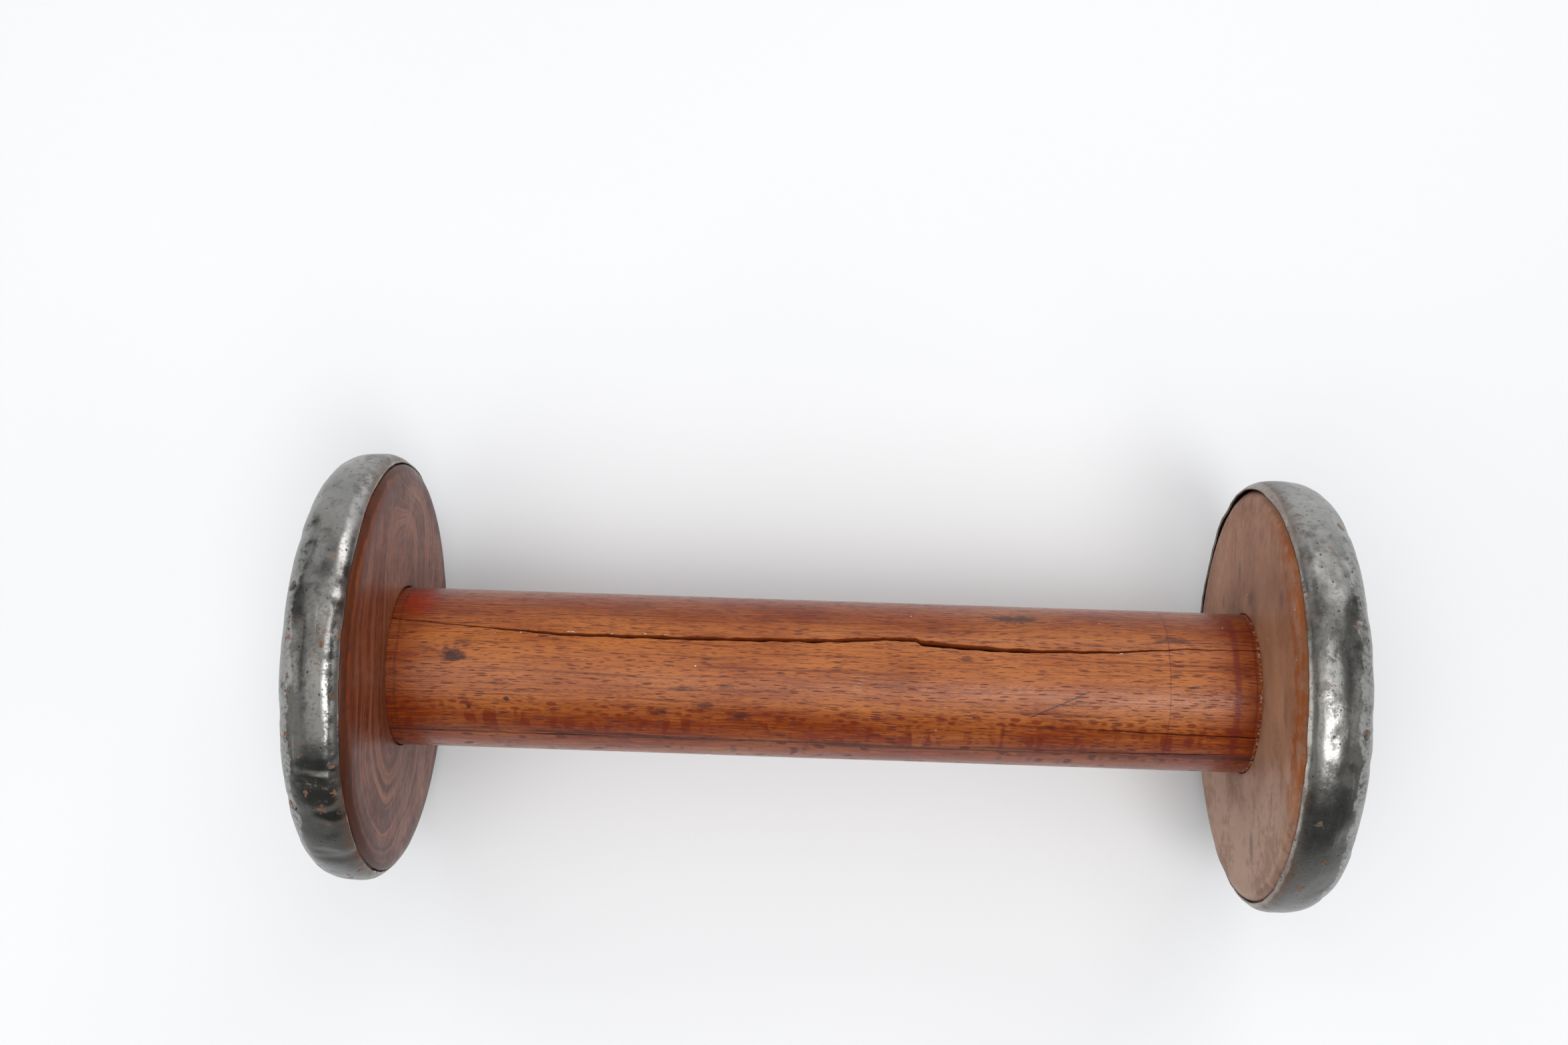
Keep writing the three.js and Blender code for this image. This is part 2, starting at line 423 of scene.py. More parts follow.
def barrel_wood():
    """Amber-varnished beech, its rings centred below and behind the barrel."""
    s = Shader("barrel_beech")
    bend = s.noise(s.place(90, 40), detail=1) - 0.5
    from_y = s.y + 46.0 + bend * 7.0
    from_z = s.z + 58.0
    ring = hypot(from_y, from_z)
    around = from_y.math("ARCTAN2", from_z) * 85.0
    angle = s.angle()

    dashes = ray_flecks(s, s.x, around, ring, 5.4, 0.44, 14.0)
    small_dashes = ray_flecks(s, s.x + 31.0, around + 5.3, ring + 40.0, 3.0, 0.3, 9.0)
    growth = s.noise(s.point(s.x / 170, around / 60, ring / 2.0))
    streaks = s.noise(s.point(s.x / 9, around / 0.3, ring / 0.4), detail=2)
    long_streaks = s.noise(s.point(s.x / 55, around / 0.7, ring / 0.9), detail=2)
    clouds = s.noise(s.place(38, 11), detail=4)
    dirt = s.noise(s.place(7, 3.2), detail=4, roughness=0.6)

    # deeper colour is darker towards both ends; sides adds painted shade, darker where the barrel turns away
    # from the top
    ends = (s.x.abs() + (dirt - 0.5) * 14).over(104, 126)
    sides = angle.apart(2, 26, 46)
    deeper = growth - 0.5 + (clouds - 0.5) * 2.0 + ends * 0.6 + sides * 0.6 + 0.22
    s.colour = s.mix(deeper.clamped(), AMBER, AMBER_DEEP)
    s.coat((dirt * 0.6 + clouds * 0.4).over(0.53, 0.7) * 0.45, DULL_AMBER)
    s.coat(streaks.over(0.5, 0.7) * 0.5, FLECK)
    s.coat(streaks.over(0.5, 0.34) * 0.25, LIGHT_AMBER)
    s.coat(long_streaks.over(0.58, 0.68) * 0.5, FLECK)
    s.coat(dashes * 0.85, FLECK)
    s.coat(small_dashes * 0.6, FLECK)

    # towards the front the saw-cut turns to the quarter, and the rays show as broad flakes
    quarter = (angle + 48 + (clouds - 0.5) * 20).abs().over(14, 7)
    bars = s.noise(s.point(s.x / 2.8, around / 12.0, ring / 12.0), detail=1).over(0.52, 0.6)
    bars *= s.noise(s.point(s.x / 15 + 7, around / 5.0, ring / 12.0), detail=2).over(0.45, 0.58)
    s.coat(quarter * bars * 0.75, FLAKE)
    turning = (angle + 32 + (clouds - 0.5) * 14).abs().over(6, 3)
    scallop, chance = s.cells(s.point(s.x / 3.6, around / 1.0, ring / 9.0), randomness=0.8)
    scallop = (scallop + (dirt - 0.5) * 0.8).over(0.5, 0.24) * chance.over(0.1, 0.3)
    s.coat(turning * scallop * 0.75, SCALLOP)
    heart = (angle + 56 + bend * 8).abs().over(4.0, 1.5) * long_streaks.over(0.38, 0.5)
    s.coat(heart * 0.85, HEART_LINE)

    ragged = s.noise(s.place(3.2, 1.6), detail=4, roughness=0.6) - 0.5
    for x, degrees, length, breadth, strength in BARREL_STAINS:
        along = (s.x - x) / length
        across = (angle - degrees) * (DEGREE / breadth)
        reach = hypot(along, across) + ragged * 2.4
        s.coat(reach.over(1.1, 0.35) * strength, STAIN)

    # red varnish pooled by the left head
    pool = ((s.x + 119) / 6).math("POWER", 2.0) + ((angle - 50) / 18).math("POWER", 2.0)
    s.coat((pool + ragged).over(1.3, 0.1) * 0.5, RED_VARNISH)
    for x, breadth, strength, tint in BARREL_LINES:
        line = (s.x - x + (clouds - 0.5) * 1.6).abs().over(breadth, breadth * 0.25)
        s.coat(line * strength, tint)
    x0, angle0, x1, angle1 = SCRATCH
    slant = (angle - angle0) * ((x1 - x0) / (angle1 - angle0)) + x0
    scratch = (s.x - slant + ragged * 2.0).abs().over(0.8, 0.3)
    scratch *= angle.apart((angle0 + angle1) / 2, 10.5, 9.5)
    s.coat(scratch * 0.8, STAIN)

    fine_dust = s.noise(s.place(0.9), detail=2).over(0.5, 0.6)
    specks, chance = s.cells(s.place(9, 7))
    s.coat(specks.over(0.034, 0.02) * chance.over(0.55, 0.65), DUST)
    # dust has gathered in the corner by the right head, and fluff in the big crack
    corner = s.x.apart(126, 0.9, 0.3) * fine_dust
    s.coat(corner * 0.6, BROWN_DUST)
    caught = angle.apart(22.5, 2.6, 1.6) * s.x.apart(-70, 34, 20)
    fluff = s.noise(s.place(1.5, 0.5), detail=2)
    s.coat(caught * fluff.over(0.66, 0.72) * 0.8, DUST)
    for x, degrees in FLUFF:
        reach = hypot((s.x - x) / 0.7, (angle - degrees) * (DEGREE / 0.5)) + ragged
        s.coat(reach.over(1.2, 0.7) * 0.8, DUST)

    # painted shade inside a crack: its walls are painted dark red, and black further down
    depth = s.radius() - BARREL_RADIUS
    between = s.x.abs().over(127.2, 127.0)
    s.coat(depth.over(-0.25, -0.5) * between * 0.8, SHADED_CRACK_WALL)
    s.coat(depth.over(-1.6, -3.0) * between, CRACK_SHADOW_BLACK)

    grain = s.noise(s.place(1.1, 0.5))
    relief = streaks * 0.5 - dashes * 0.4 + grain * 0.9
    roughness = clouds * 0.14 + dirt * 0.18 + streaks * 0.22 + dashes * 0.15
    return s.finish(roughness, height=relief, depth=0.075, ior=1.33)


# Dark marks on the right head's inner face: y, z, half length along each in mm, and strength.
FACE_MARKS = (
    (37, 0, 4.5, 1.6, 0.6), (23, 43, 3.0, 2.2, 0.5), (-32, 30, 3.5, 1.2, 0.4),
    (-45, 8, 6.0, 2.0, 0.55), (30, -20, 2.5, 1.5, 0.5), (-38, -18, 2.0, 1.0, 0.4),
    (27, 12, 2.6, 4.0, 0.45), (-8, 45, 5.0, 2.5, 0.35), (44, 24, 3.0, 3.5, 0.3),
)
# Growth rings cut along the grain: how fast they close below and above, depth of the heart in mm, and the
# figure's place across the grain and along it.
HEAD_RINGS = {"left": (0.0065, 0.024, 2.0, 12.0, 24.0), "right": (0.004, 0.0, 34.0, -12.0, 0.0)}
# Light and dark wood, and strength of the growth lines, of the purple darkening by the rim and round the
# barrel, of the orange painted highlight on the rounded edge and of streaks.
HEAD_LOOK = {
    "left": ((0.28, 0.092, 0.044), (0.085, 0.018, 0.01), 0.9, 0.6, 0.75, 0.8),
    "right": ((0.41, 0.198, 0.106), (0.23, 0.085, 0.04), 0.3, 0.1, 0.8, 0.35),
}
# The painted highlight on the rounded edge: its start radius, its middle in degrees and its colour. Then the
# strength and colour of the painted reflection of the barrel.
HEAD_PAINTED_LIGHT = {
    "left": (57.2, 18, (0.3, 0.058, 0.006), 0.5, (0.15, 0.033, 0.012)),
    "right": (52.0, 6, (0.28, 0.07, 0.01), 0.6, (0.21, 0.072, 0.026)),
}
HEAD_ROUGHNESS = {"left": 0.1, "right": 0.2}


def head_wood(side, name, outer):
    """Brown polished wood. The inner ply's grain runs along Y and the outer ply's along Z."""
    s = Shader(name)
    along, across = (s.z, s.y) if outer else (s.y, s.z)
    deep = s.x.abs() - FACE
    bend = s.noise(s.place(60, 45), detail=2) - 0.5
    cup, top_cup, heart, centre, middle = HEAD_RINGS[side]
    sideways = across - centre + bend * 16.0
    lengthways = along - middle + bend * 20.0
    down = lengthways * lengthways * (lengthways.over(0, 14) * top_cup + cup) + deep + heart
    ring = hypot(sideways, down)
    growth = s.noise(s.point(along / 120, across / 120, ring / 2.3), detail=2, roughness=0.65)
    streaks = s.noise(s.point(along / 10.0, across / 0.45, deep / 0.45))
    clouds = s.noise(s.place(20, 24, 17), detail=4, roughness=0.6)
    fine = s.noise(s.place(3), detail=4, roughness=0.6)

    light, dark, lines, purple, edge_highlight_share, streaky = HEAD_LOOK[side]
    if outer:
        light, dark, lines, streaky = scaled(light, 0.55), scaled(dark, 0.55), 0.8, 0.8
    deeper = (clouds - 0.5) * 1.7 + (fine - 0.5) * 0.7 + (streaks - 0.5) * streaky + 0.42
    s.colour = s.mix(deeper.clamped(), light, dark)
    figure = growth.over(0.47, 0.57) * (clouds * 0.6 + fine * 0.4).over(0.3, 0.55)
    s.coat(figure * (along.over(0, -30) * 0.4 + 0.6) * lines, dark)
    if outer:
        s.coat(streaks.over(0.5, 0.66) * 0.4, dark)
    elif side == "left":
        pale_rings = growth.over(0.47, 0.36) * clouds.over(0.36, 0.56)
        s.coat(pale_rings * 0.5, (0.38, 0.165, 0.1))
    else:
        dusty = (s.y * -0.007 + clouds * 1.2 + fine * 0.6).over(0.55, 1.25)
        s.coat(dusty * 0.75, (0.465, 0.315, 0.23))
        s.coat(streaks.over(0.5, 0.7) * 0.12, dark)
        bare = (clouds * 0.5 + fine * 0.5).over(0.5, 0.6)
        s.coat(bare * 0.4, (0.2, 0.085, 0.045))

    radius = s.radius()
    edge = radius + (clouds - 0.5) * 4.0 + (fine - 0.5) * 1.2
    angle = s.angle()
    s.coat(edge.over(52.0, 57.0) * purple, (0.055, 0.017, 0.013))
    # over the upper part: an orange painted highlight on the rounded edge, and further in a painted
    # reflection of the barrel
    start, turn, edge_highlight_colour, shade, reflected_barrel_colour = HEAD_PAINTED_LIGHT[side]
    sweep = angle.apart(turn, 60, 28) * deep.over(JOINT_U, JOINT_U - 1)
    patches = s.noise(s.place(5, 9, 4), roughness=0.6)
    # the haze is a painted reflection of the barrel
    painted_barrel_reflection = edge.over(26, 50) * sweep * clouds.over(0.35, 0.6)
    s.coat(painted_barrel_reflection * shade, reflected_barrel_colour)
    # the orange strip is a painted highlight on the rounded edge
    strip = edge.over(start, start + 3.0) * sweep * (patches * 0.6 + fine * 0.4).over(0.41, 0.57)
    s.coat(strip * edge_highlight_share, edge_highlight_colour)
    s.coat(edge.over(58.9, 60.0) * (purple + 0.2), (0.05, 0.015, 0.008))
    inner = SPIGOT_RADIUS if outer else BARREL_RADIUS
    s.coat(radius.over(inner + 1.6, inner + 0.3) * purple, (0.04, 0.014, 0.01))
    if outer:  # handling has darkened the end, most of all beside the fold
        s.coat((clouds * 0.7 + fine * 0.3).over(0.4, 0.6) * 0.55, dark)
        grime = (radius + (fine - 0.5) * 8.0).over(40.0, 47.0) * 0.65
        s.coat(grime, (0.035, 0.016, 0.011))
    worn = (radius + (fine - 0.5) * 10).over(42.0, 27.0) * (clouds.over(0.35, 0.65) * 0.5 + 0.1)
    s.coat(worn, (0.15, 0.042, 0.014))
    marks, chance = s.cells(s.point(s.x / 30, along / 11, across / 4))
    scuff = (marks + (fine - 0.5) * 0.5).over(0.22, 0.06) * chance.over(0.62, 0.75)
    s.coat(scuff * 0.7, (0.05, 0.03, 0.026))
    if side == "right" and not outer:
        for y, z, length, breadth, strength in FACE_MARKS:
            reach = hypot((s.y - y) / length, (s.z - z) / breadth) + (fine - 0.5) * 2.0
            s.coat(reach.over(1.2, 0.3) * strength, (0.07, 0.04, 0.034))
    specks, chance = s.cells(s.place(8, 6))
    s.coat(specks.over(0.05, 0.025) * chance.over(0.6, 0.7), DUST)

    relief = streaks * 0.5 + growth * 0.4 + fine * 0.5
    roughness = clouds * 0.25 + fine * 0.2 + HEAD_ROUGHNESS[side]
    return s.finish(roughness, height=relief, depth=0.05, ior=1.2)


def worn_steel(name, base, rust_share):
    """Old oiled steel with dark oxide, a few bare spots and rust."""
    s = Shader(name)
    patches = s.noise(s.place(9), detail=5, roughness=0.62)
    fine = s.noise(s.place(1.6), detail=4, roughness=0.65)
    s.colour = s.mix(patches.over(0.4, 0.62), scaled(base, 0.4), base)
    s.coat(fine.apart(0.5, 0.04, 0.2) * 0.5, scaled(base, 0.3))
    rust = (patches * 0.5 + fine * 0.5).over(0.64 - rust_share * 0.3, 0.7 - rust_share * 0.3)
    s.coat(rust, s.mix(fine.over(0.35, 0.65), scaled(RUST, 0.45), RUST))
    roughness = fine * 0.25 + rust * 0.35 + 0.2
    relief = fine + rust * 0.5
    return s.finish(roughness, height=relief, depth=0.06, metallic=1.0 - rust * 0.85)


# How each band looks: steel tone, share of rust, how brown it is by the lip, how strong its painted shade is
# low in front, how far round the painted reflection that makes its far side pale reaches in degrees, and its
# roughness.
BAND_LOOK = {
    "left": (0.19, 0.42, 0.5, 0.85, (92, 58), 0.13),
    "right": (0.215, 0.1, 0.6, 0.4, (83, 50), 0.17),
}
WORN_U = 15.9  # where the worn outer strip starts
# The painted highlight on the rim: middle and half breadth in u, middle and half sweep in degrees, and
# strength.
RIM_GLINT = {"left": (4.9, 1.8, 12, 50, 0.75), "right": (7.6, 3.0, -12, 20, 0.42)}
LIP_STEEL = (0.55, 0.53, 0.49)
LIP_BROWN = (0.11, 0.052, 0.026)
OLD_RUST = (0.08, 0.032, 0.014)
LIP_SHADOW_BLACK = (0.01, 0.009, 0.008)


def band_steel(side):
    """Dark sheet steel: oxide, small pits, a strip worn grey on the outer corner, bright edges and rust, with
    painted shade on the near side and low in front, a painted highlight on the rim, a painted reflection that
    makes the far side pale, and painted shadow inside the lip.
    """
    s = Shader(f"{side}_band_steel")
    tone, rusty, brown, low_front_shade, far_reflection_window, base_roughness = BAND_LOOK[side]
    glint_u, glint_breadth, glint_angle, glint_sweep, shine = RIM_GLINT[side]
    angle = s.angle()
    radius = s.radius()
    u = s.x.abs() - FACE
    patches = s.noise(s.place(13, 17), detail=4, roughness=0.55)
    mottle = s.noise(s.place(4.5), detail=5, roughness=0.65)
    fine = s.noise(s.place(1.1), roughness=0.65)
    drawn = s.noise(s.point((u - radius) / 0.8, s.y / 16, s.z / 16))

    dark = scaled((0.6, 0.59, 0.55), tone)
    middle = scaled((1.05, 1.03, 0.98), tone)
    pale = scaled((2.0, 1.98, 1.93), tone)
    # painted shade: the near side and the low front are painted darker, where the steel reflects the dark
    # front of the room
    low = (angle + 95 + (mottle - 0.5) * 20).abs().over(68, 40)
    near_side_shade = (angle + 90 + (mottle - 0.5) * 30).abs().over(90, 50) * 0.16
    s.colour = s.mix((patches * 0.6 + mottle * 0.4 - near_side_shade).over(0.42, 0.56), dark, middle)
    s.coat(drawn.over(0.55, 0.75) * 0.2, pale)
    s.coat(mottle.apart(0.5, 0.02, 0.16) * 0.6, dark)
    s.coat(fine.over(0.5, 0.66) * 0.5, scaled(dark, 0.5))
    # painted shade low in front
    s.coat(low * low_front_shade, scaled(dark, 0.55))

    # the outer corner is worn to bare grey metal, a painted highlight lies on the rim, and a painted
    # reflection makes the far side paler
    worn_u = u - WORN_U + (patches - 0.5) * 6.0 + (mottle - 0.5) * 4.5
    strip = worn_u.over(-0.2, 0.7) * (fine * 0.6 + mottle * 0.4).over(0.36, 0.58)
    strip *= radius.over(56.0, 58.5)
    s.coat(strip * 0.75, scaled(pale, 1.15))
    s.coat(radius.over(57.5, 53.0) * 0.5, dark)
    # a patch of painted highlight on the rim
    rim_glint = (u - glint_u + (patches - 0.5) * 3.0).abs().over(glint_breadth, glint_breadth * 0.3)
    rim_glint *= (angle - glint_angle + (patches - 0.5) * 30).abs().over(glint_sweep, glint_sweep * 0.7)
    rim_glint *= (mottle * 0.7 + fine * 0.3).over(0.42, 0.54)
    s.coat(rim_glint * shine, scaled(pale, 1.4))
    # painted reflection: the far side is painted paler
    far_reflection = (angle - 95 + (patches - 0.5) * 60).abs().over(*far_reflection_window) * mottle.over(0.26, 0.56)
    s.coat(far_reflection * 0.5, pale)
    # a dark patch at the back, on the yarn side: partly dull oxide and partly painted shade
    oxide_and_shade = (angle - 84 + (mottle - 0.5) * 30).abs().over(26, 16)
    oxide_and_shade *= (u - 6.2 + (patches - 0.5) * 6.0 + (fine - 0.5) * 1.5).abs().over(4.6, 3.4)
    s.coat(oxide_and_shade * 0.7, scaled(dark, 0.7))
    lip = (u - LIP_U + (mottle - 0.5) * 1.2).over(0.7, 0.0)
    s.coat(lip * fine.over(0.25, 0.5) * 0.8, LIP_STEEL)
    by_lip = (u - LIP_U + (mottle - 0.5) * 5.0).over(3.6, 0.6)
    tint = by_lip * (patches + angle.abs().over(30, 70) * 0.15).over(0.4, 0.6) * brown
    s.coat(tint, LIP_BROWN)

    pits, chance = s.cells(s.place(2.1))
    pit = (pits + (fine - 0.5) * 0.35).over(0.2, 0.08) * chance.over(0.4, 0.6)
    s.coat(pit * 0.75, scaled(dark, 0.3))

    # rust sits in spots, most of them on the near side
    near = (angle + 70 + (patches - 0.5) * 50).abs().over(115, 45) * 0.65 + 0.35
    spots, chance = s.cells(s.place(4.3))
    ragged = s.noise(s.point(s.x / 1.3 + 40, s.y / 1.3, s.z / 1.3)) - 0.5
    spot = (spots + ragged * 1.1).over(0.27, 0.08) * chance.over(1 - rusty, 1.04 - rusty) * near
    bloom = (mottle * 0.6 + fine * 0.4).over(0.57, 0.66) * near * (rusty * 1.6)
    rust = (spot + bloom).clamped()
    s.coat(rust * 0.85, s.mix(fine.over(0.42, 0.56), OLD_RUST, RUST))

    # painted shadow: the sheet's inner side is painted black where it stands clear of the wood
    rise = (CROWN_U - u) / (CROWN_U - LIP_U)
    below = radius - RIM_RADIUS + rise * rise * rise * LIP_DROP
    painted_lip_shadow = below.over(-0.42, -0.52) * u.over(4.5, 4.0)
    painted_lip_shadow *= angle.abs().apart(115, 60, 50) * s.y.over(0, 6)
    s.coat(painted_lip_shadow, LIP_SHADOW_BLACK)

    roughness = mottle * 0.18 + fine * 0.08 + strip * 0.15 + far_reflection * 0.1 + rust * 0.5 + pit * 0.2
    roughness += painted_lip_shadow * 0.5 - rim_glint * 0.08 + base_roughness
    relief = mottle * 0.6 + fine * 0.35 + drawn * 0.1 - pit * 0.5 + rust * 0.3 + strip * 0.3
    metallic = (1 - painted_lip_shadow) * (0.92 - rust * 0.87)
    return s.finish(roughness, height=relief, depth=0.1, metallic=metallic)


# ======== the barrel ========

class Crack:
    """A drying crack along the barrel. path is (x, degrees) and breadth (x, mm), 0 where it is closed."""

    def __init__(self, path, breadth, depth):
        self.path = path
        self.breadth = breadth
        self.depth = depth
        self.middle = sum(a for _, a in path) / len(path)

    def angle(self, x):
        wander = np.interp(x, *zip(*self.path))
        broad = [noise.noise(Vector((v / 6, self.middle, 0))) for v in x]
        small = [noise.noise(Vector((v / 2, self.middle, 9))) for v in x]
        return wander + 0.55 * (np.array(broad) + 0.5 * np.array(small))

    def half(self, x):
        ragged = [1 + 0.45 * noise.noise(Vector((v / 5, 3, self.middle))) for v in x]
        return 0.5 * np.interp(x, *zip(*self.breadth)) * np.array(ragged)


CRACKS = (
    Crack(
        [(-128, 30.9), (-104, 26.2), (-77, 22), (-50, 21.7), (-26, 22.3), (4, 23.6), (17, 26.6), (27.2, 26.4),
         (28.4, 24), (40, 22), (54, 20.4), (70, 21), (85, 21.9), (105, 26), (128, 26.8)],
        [(-128, 0.35), (-100, 0.45), (-82, 0.9), (-50, 1.2), (0, 1.3), (24, 1.3), (30, 1.9), (50, 1.6),
         (66, 1.0), (90, 0.7), (106, 0.4), (128, 0.35)],
        depth=5.0,
    ),
    Crack([(72, -34.4), (100, -36.4), (128, -37.2)], [(72, 0), (82, 0.4), (100, 0.6), (128, 0.5)], depth=3.0),
    Crack(
        [(-119, -56.4), (-60, -56), (76, -57), (100, -55.2), (121, -54.2)],
        [(-120, 0), (-112, 0.45), (-72, 0.4), (-58, 0), (72, 0), (84, 0.4), (114, 0.45), (122, 0)],
        depth=2.0,
    ),
    Crack([(-128, 171), (-40, 168), (30, 173)], [(-128, 0.4), (-60, 0.3), (30, 0)], depth=2.5),
)
CRACK_WINDOW = 9.0  # degrees either side in which the mesh's columns follow a crack
CRACK_CORE = 4.0  # degrees either side that hold the crack's own columns
# Offsets from the middle of a crack, as (share of half breadth, mm), and the share of its depth there.
CRACK_SECTION = (
    (-1, -1.1, 0.0), (-1, -0.45, 0.0), (-1, -0.12, 0.002), (-1, 0, 0.012), (-0.75, 0, 0.9),
    (0, 0, 1.0),
    (0.75, 0, 0.9), (1, 0, 0.012), (1, 0.12, 0.002), (1, 0.45, 0.0), (1, 1.1, 0.0),
)
BARREL_STEP = 0.85  # between rows along the barrel
BARREL_COLUMN = 2.0  # degrees between columns


def barrel_surface(x):
    """Angles and radii of the barrel's outer surface: a row for each x, a column for each line along it."""
    regular = np.arange(0, 360, BARREL_COLUMN)
    for crack in CRACKS:
        apart = (regular - crack.middle + 180) % 360 - 180
        regular = regular[np.abs(apart) > CRACK_CORE]
    angles = [np.tile(regular, (len(x), 1))]
    sunk = [np.zeros((len(x), len(regular)))]
    for crack in CRACKS:
        apart = (regular - crack.middle + 180) % 360 - 180
        follow = 1 - smoothstep(CRACK_CORE, CRACK_WINDOW + CRACK_CORE, np.abs(apart))
        centre = crack.angle(x)
        angles[0] = angles[0] + follow * (centre - crack.middle)[:, None]
        half = np.maximum(crack.half(x), 0.02)[:, None]
        share, offset, deep = np.array(CRACK_SECTION).T
        angles.append(centre[:, None] + np.degrees((share * half + offset) / BARREL_RADIUS))
        open_share = smoothstep(0.02, 0.12, half)
        sunk.append(deep * crack.depth * np.minimum(1, half / 0.3) * open_share)
    angles, sunk = np.hstack(angles), np.hstack(sunk)
    order = np.argsort(angles[len(x) // 2] % 360)
    return np.radians(angles[:, order]), BARREL_RADIUS - sunk[:, order]


def build_barrel():
    half_length = FACE + SEAT_DEPTH - GAP
    count = round(2 * half_length / BARREL_STEP)
    x = np.linspace(-half_length, half_length, count + 1)
    angles, radii = barrel_surface(x)
    points = np.stack([np.broadcast_to(x[:, None], angles.shape), np.sin(angles), np.cos(angles)], -1)
    skin = points * (1, BARREL_RADIUS, BARREL_RADIUS)
    wear = 0.05 * wobble(skin, 30, 1) + 0.025 * wobble(skin, 7, 2)
    nicks = 0.1 * smoothstep(0.42, 0.7, wobble(skin, 4.5, 3))
    shrink = (radii + wear - nicks - 0.06)[..., None]
    outer = points.copy()
    outer[..., 1:] *= shrink

    # the ends: shoulder, spigot, seat of the bush's plate, and the bore
    def end_row(x_mm, r, row):
        loop = np.array(outer[row])
        loop[:, 0] = x_mm
        loop[:, 1:] *= r / np.hypot(loop[:, 1], loop[:, 2])[:, None]
        return loop

    bore = TUBE_RADIUS + GAP
    seat = BARREL_END - PLATE
    end = [(half_length, SPIGOT_RADIUS), (BARREL_END - 0.4, SPIGOT_RADIUS), (BARREL_END, SPIGOT_RADIUS - 0.4),
           (BARREL_END, PLATE_RADIUS + GAP), (seat, PLATE_RADIUS + GAP), (seat, bore)]
    right = [end_row(v, r, -1) for v, r in end]
    left = [end_row(-v, r, 0) for v, r in reversed(end)]
    bore_rows = [end_row(v, bore, 0) for v in (100, 50, 0, -50, -100)]
    mesh = ring_mesh("barrel_wood", np.array([*outer, *right, *bore_rows, *left]))
    finished(mesh, barrel_wood(), ["barrel"])


# ======== the heads ========

def rim_outline(inset, step):
    """(u, r) points of the rim, from the lip over the crown to the end face, inset from the outside."""
    crown = RIM_RADIUS - inset
    points = []
    count = round((CROWN_U - LIP_U) / step)
    for i in range(count):
        s = 1 - i / count
        points.append((CROWN_U - (CROWN_U - LIP_U) * s, crown - LIP_DROP * s ** 3))
    across = BAND_END_U - inset - CROWN_U
    down = crown - CORNER_RADIUS
    count = round(18 / step)
    for i in range(count + 1):
        t = math.pi / 2 * i / count
        points.append((
            CROWN_U + across * math.sin(t) ** (2 / CORNER_POWER),
            CORNER_RADIUS + down * max(math.cos(t), 0) ** (2 / CORNER_POWER),
        ))
    return points


def finish_ply(side, which, points, open_face, inward, hollows):
    """Makes a ply of its points, with its open face worn. hollows are (depth, size) of the wear in mm."""
    seed = SIDES.index(side) * 7 + {"inner": 11, "outer": 13}[which]
    wear = sum(depth * wobble(points, size, seed + i) for i, (depth, size) in enumerate(hollows))
    points[..., 0] += np.where(open_face[:, None], np.abs(wear), 0) * inward
    mesh = ring_mesh(f"{side}_{which}_ply_wood", to_head(points, side))
    material = head_wood(side, f"{side}_{which}_wood", which == "outer")
    finished(mesh, material, [f"{side}_{which}_ply"])


def build_inner_ply(side):
    """The thick ply: its face falls slightly towards the rim and rounds over to meet the band's lip."""
    inner = BARREL_RADIUS + {"left": 0.25, "right": 0.12}[side]
    hole = SPIGOT_RADIUS + GAP
    edge_u, edge_r = LIP_U + 0.5, RIM_RADIUS - SHEET - GAP - LIP_DROP + 0.2
    rounding = [(edge_u - (edge_u - FACE_FALL) * math.sin(a), edge_r - EDGE_ROUND * (1 - math.cos(a)))
                for a in np.radians(np.linspace(90, 0, 9))]
    wood = [p for p in rim_outline(SHEET + GAP, RIM_STEP) if edge_u + 0.5 < p[0] < JOINT_U - 0.3]
    joint_r = wood[-1][1]
    outline = [
        (SEAT_DEPTH, inner), (0.3, inner), (0.08, inner + 0.12), (0.0, inner + 0.4), *rounding, *wood,
        (JOINT_U, joint_r), (JOINT_U, hole), (SEAT_DEPTH, hole), (SEAT_DEPTH, inner),
    ]
    section, points = turned(outline, FACE_STEP, COLUMNS)
    open_face = (section[:, 0] < edge_u + 0.2) & (section[:, 1] > inner + 0.3)
    finish_ply(side, "inner", points, open_face, 1, ((0.1, 22), (0.05, 6)))


def build_outer_ply(side):
    hole = SPIGOT_RADIUS + GAP
    start = JOINT_U + GAP
    wood = [p for p in rim_outline(SHEET + GAP, RIM_STEP) if start + 0.3 < p[0] < WOOD_END_U - 0.05]
    outline = [
        (start, hole), (start, wood[0][1]), *wood, (WOOD_END_U, CORNER_RADIUS - 1),
        (WOOD_END_U, hole + 0.6), (WOOD_END_U - 0.15, hole + 0.15), (WOOD_END_U - 0.5, hole), (start, hole),
    ]
    section, points = turned(outline, FACE_STEP, COLUMNS)
    open_face = (section[:, 0] > WOOD_END_U - 0.2) & (section[:, 1] < FOLD_RADIUS + 4)
    finish_ply(side, "outer", points, open_face, -1, ((0.14, 18), (0.07, 5)))


# ======== the steel bands ========

